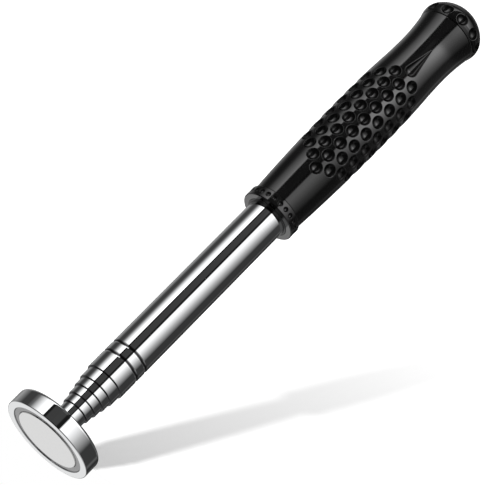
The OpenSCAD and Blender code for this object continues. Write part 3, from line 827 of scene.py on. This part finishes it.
# Panels of the light tent by their turn round the tool from the crest line, in degrees, with their light:
# table glow on the far left, dark side, left softbox, black flag, grey ceiling, black flag, right softbox,
# dark side, thin strip on the far right
PANELS = [
    (-180, 0.1), (-145, 0.35), (-115, 0.05), (-95, 0.05),
    (-85, 0.15), (-60, 1.3), (-48, 2.0), (-46.5, 2.0),
    (-45.5, 0.01), (-40, 0.01), (-37.5, 0.05), (-8.5, 0.05), (-6, 0.01), (2.2, 0.01),
    (3.4, 1.15), (20, 1.15), (50, 0.45), (78, 0.04),
    (120, 0.04), (128, 0.1), (140, 0.02), (180, 0.1)]
# Their light by the way along the tool, from the magnet's end (-1) to the cap's (1), on its left and right
LEFT_ALONG = [
    (-1, 0.06), (-0.4, 0.07), (-0.2, 0.55), (0.12, 0.6), (0.2, 1.0), (0.4, 1.0), (0.47, 1.12), (0.6, 1.0),
    (0.75, 0.9), (0.9, 0.7), (1, 0.3)]
RIGHT_ALONG = [
    (-1, 0.06), (-0.4, 0.07), (-0.2, 0.55), (0.12, 0.6), (0.2, 1.3), (0.33, 1.0), (0.415, 1.0), (0.46, 2.5),
    (0.51, 2.6), (0.55, 2.2), (0.6, 1.9), (0.75, 1.5), (0.9, 0.9), (1, 0.3)]
# Turn at which the left half of the tent ends, inside its dark band
SIDES_MEET = -22
# Strongest light in each table
PANEL_PEAK, ALONG_PEAK = 2.0, 2.6
# White table below the head, in the way that flat front faces mirror. Each pair says where it starts and where
# it is full: by how near a direction is to that way, and along the tool, so that it ends under the first tubes.
TABLE_WAY = Vector((CAMERA_BACK.x, -CAMERA_BACK.y, -CAMERA_BACK.z))
TABLE_EDGE, TABLE_END = (0.74, 0.9), (-0.1, -0.25)
# Grey front wall of the tent, which the magnet's face mirrors when it is seen from the front
FRONT_EDGE, FRONT_TOP, FRONT_LEVEL = (-0.08, -0.3), (0.1, -0.1), 0.45
# Soft light that matt surfaces get from all round
SOFT_LEVEL = 0.55


def light_tent():
    """World: a light tent that only mirrors see, plain soft light for matt surfaces, white for the camera."""
    world = bpy.data.worlds.new("light_tent")
    bpy.context.scene.world = world
    world.use_nodes = True
    world.cycles.sampling_method = "NONE"
    tree = world.node_tree
    tree.nodes.clear()
    coords = put(tree, "ShaderNodeTexCoord").outputs["Generated"]
    way = put(tree, "ShaderNodeSeparateXYZ", {0: coords}).outputs
    side = put(tree, "ShaderNodeMath", {0: way[1], 1: -1.0}, operation="MULTIPLY")
    turn = put(tree, "ShaderNodeMath", {0: side.outputs[0], 1: way[2]}, operation="ARCTAN2")
    off = put(tree, "ShaderNodeMath", {0: turn.outputs[0], 1: math.pi - CREST}, operation="ADD")
    share = put(tree, "ShaderNodeMath", {0: off.outputs[0], 1: TURN}, operation="DIVIDE")
    share = put(tree, "ShaderNodeMath", {0: share.outputs[0], 1: 1.0}, operation="FLOORED_MODULO")
    panels = put(tree, "ShaderNodeValToRGB", {0: share.outputs[0]})
    length = put(tree, "ShaderNodeMapRange", {"Value": way[0], "From Min": -1.0, "From Max": 1.0})
    left = put(tree, "ShaderNodeValToRGB", {0: length.outputs[0]})
    right = put(tree, "ShaderNodeValToRGB", {0: length.outputs[0]})
    for node, stops, low, high, peak in (
            (panels, PANELS, -180, 180, PANEL_PEAK), (left, LEFT_ALONG, -1, 1, ALONG_PEAK),
            (right, RIGHT_ALONG, -1, 1, ALONG_PEAK)):
        ramp = node.color_ramp.elements
        while len(ramp) < len(stops):
            ramp.new(1.0)
        for element, (place, level) in zip(ramp, stops):
            element.position = (place - low) / (high - low)
            element.color = [level / peak] * 3 + [1.0]
    on_right = put(tree, "ShaderNodeMath", {0: share.outputs[0], 1: (SIDES_MEET + 180) / 360},
                   operation="GREATER_THAN")
    along = put(tree, "ShaderNodeMix", {0: on_right.outputs[0], 6: left.outputs[0], 7: right.outputs[0]},
                data_type="RGBA")
    tent = put(tree, "ShaderNodeMix", {0: 1.0, 6: panels.outputs[0], 7: along.outputs[2]}, data_type="RGBA",
               blend_type="MULTIPLY")
    toward = put(tree, "ShaderNodeVectorMath", {0: coords, 1: TABLE_WAY}, operation="DOT_PRODUCT")
    table, under, ahead, low = [
        put(tree, "ShaderNodeMapRange", {"Value": value, "From Min": start, "From Max": full, "To Max": level})
        for value, (start, full), level in (
            (toward.outputs["Value"], TABLE_EDGE, 1.0), (way[0], TABLE_END, 1.0),
            (way[0], FRONT_EDGE, 1.0), (way[2], FRONT_TOP, FRONT_LEVEL))]
    table = put(tree, "ShaderNodeMath", {0: table.outputs[0], 1: under.outputs[0]}, operation="MULTIPLY")
    wall = put(tree, "ShaderNodeMath", {0: ahead.outputs[0], 1: low.outputs[0]}, operation="MULTIPLY")
    pale = put(tree, "ShaderNodeMath", {0: table.outputs[0], 1: wall.outputs[0]}, operation="MAXIMUM")
    path = put(tree, "ShaderNodeLightPath").outputs
    tent = put(tree, "ShaderNodeBackground", {"Color": tent.outputs[2], "Strength": PANEL_PEAK * ALONG_PEAK})
    pale_light = put(tree, "ShaderNodeBackground", {"Color": linear("#ececec"), "Strength": 1.0})
    tent = put(tree, "ShaderNodeMixShader", {0: pale.outputs[0], 1: tent.outputs[0], 2: pale_light.outputs[0]})
    soft = put(tree, "ShaderNodeBackground", {"Color": linear("#ffffff"), "Strength": SOFT_LEVEL})
    white = put(tree, "ShaderNodeBackground", {"Color": linear("#ffffff"), "Strength": 1.0})
    seen = put(tree, "ShaderNodeMixShader", {0: path["Is Glossy Ray"], 1: soft.outputs[0], 2: tent.outputs[0]})
    seen = put(tree, "ShaderNodeMixShader", {0: path["Is Camera Ray"], 1: seen.outputs[0], 2: white.outputs[0]})
    put(tree, "ShaderNodeOutputWorld", {0: seen.outputs[0]})


# The white board touches the rim of the head and falls away under the handle, as the shadow in the photo shows
BOARD_UP = Vector((0.646, 0.11, 0.756)).normalized()
BOARD_DOWN = (Vector((1, 0, 0)) - BOARD_UP * BOARD_UP.x).normalized()
BOARD_SIDE = BOARD_UP.cross(BOARD_DOWN)
BOARD_AT = Vector((0, -BOARD_UP.y, -BOARD_UP.z)).normalized() * CUP_R * MM
# Ways from there down the board to its front and rear edges, and half of its width
BOARD_FRONT, BOARD_REAR, BOARD_HALF = 0.011, 1.2, 0.6
# The back reaches out in front by a lip and lies just below
BACK_LIP, BACK_BELOW = MM, 0.1 * MM
# The board glows more and more away from the head, so that the shadow runs out in white
GLOW_WAY, GLOW_LEVEL = (0.03, 0.26), (0.17, 0.63)


def matt_white_board():
    """Matt white paper on a board, with a glow that only the camera sees."""
    material, tree = new_material("matt_white_board")
    at = put(tree, "ShaderNodeTexCoord").outputs["Object"]
    # Paper tooth of about 1 mm
    tooth = put(tree, "ShaderNodeTexNoise", {"Vector": at, "Scale": 1000.0, "Detail": 2.0})
    tone = put(tree, "ShaderNodeMix", {"Factor": tooth.outputs[0], 6: linear("#f2f2f2"), 7: linear("#f6f6f6")},
               data_type="RGBA")
    matt = put(tree, "ShaderNodeBsdfDiffuse", {"Color": tone.outputs[2]})
    away = put(tree, "ShaderNodeVectorMath", {0: at, 1: BOARD_DOWN}, operation="DOT_PRODUCT")
    glow = put(tree, "ShaderNodeMapRange", {
        "Value": away.outputs["Value"], "From Min": GLOW_WAY[0], "From Max": GLOW_WAY[1],
        "To Min": GLOW_LEVEL[0], "To Max": GLOW_LEVEL[1]})
    path = put(tree, "ShaderNodeLightPath").outputs
    level = put(tree, "ShaderNodeMath", {0: glow.outputs[0], 1: path["Is Camera Ray"]}, operation="MULTIPLY")
    lift = put(tree, "ShaderNodeEmission", {"Color": linear("#ffffff"), "Strength": level.outputs[0]})
    both = put(tree, "ShaderNodeAddShader", {0: matt.outputs[0], 1: lift.outputs[0]})
    put(tree, "ShaderNodeOutputMaterial", {"Surface": both.outputs[0]})
    return material


def plain_white_back():
    """White of the background, for the back of the board in views from below."""
    material, tree = new_material("plain_white_back")
    path = put(tree, "ShaderNodeLightPath").outputs
    white = put(tree, "ShaderNodeEmission", {"Color": linear("#ffffff"), "Strength": path["Is Camera Ray"]})
    put(tree, "ShaderNodeOutputMaterial", {"Surface": white.outputs[0]})
    return material


def board():
    for name, front, below, material in (
            ("white_board", BOARD_FRONT, 0, matt_white_board()),
            ("board_back", BOARD_FRONT - BACK_LIP, BACK_BELOW, plain_white_back())):
        corners = [BOARD_AT + BOARD_DOWN * a + BOARD_SIDE * b - BOARD_UP * below for a, b in (
            (front, -BOARD_HALF), (BOARD_REAR, -BOARD_HALF), (BOARD_REAR, BOARD_HALF), (front, BOARD_HALF))]
        mesh = bpy.data.meshes.new(name)
        mesh.from_pydata(corners, [], [(0, 1, 2, 3)])
        mesh.materials.append(material)
        sheet = bpy.data.objects.new(name, mesh)
        bpy.context.scene.collection.objects.link(sheet)
        sheet.visible_glossy = False


LAMP_WAY = Vector((0.048, 0.183, 0.982)).normalized()
LAMP_SIZE, LAMP_DISTANCE, LAMP_LEVEL = 0.11, 1.2, 0.5
LAMP_AIM = Vector((0.09, 0, 0))


def lamp():
    """Soft lamp above the tool, which mirrors don't see."""
    data = bpy.data.lights.new("soft_lamp", "AREA")
    data.shape = "DISK"
    data.size = LAMP_SIZE
    # Energy that, spread over a sphere at the lamp's distance, gives the level on the slanted board
    data.energy = LAMP_LEVEL * math.pi * LAMP_DISTANCE ** 2 * 4 / BOARD_UP.dot(LAMP_WAY)
    soft = bpy.data.objects.new("soft_lamp", data)
    soft.matrix_world = Matrix.Translation(LAMP_AIM + LAMP_WAY * LAMP_DISTANCE) @ LAMP_WAY.to_track_quat(
        "Z", "Y").to_matrix().to_4x4()
    soft.visible_glossy = False
    bpy.context.scene.collection.objects.link(soft)


camera()
light_tent()
board()
lamp()
bpy.context.scene.view_settings.view_transform = "Standard"
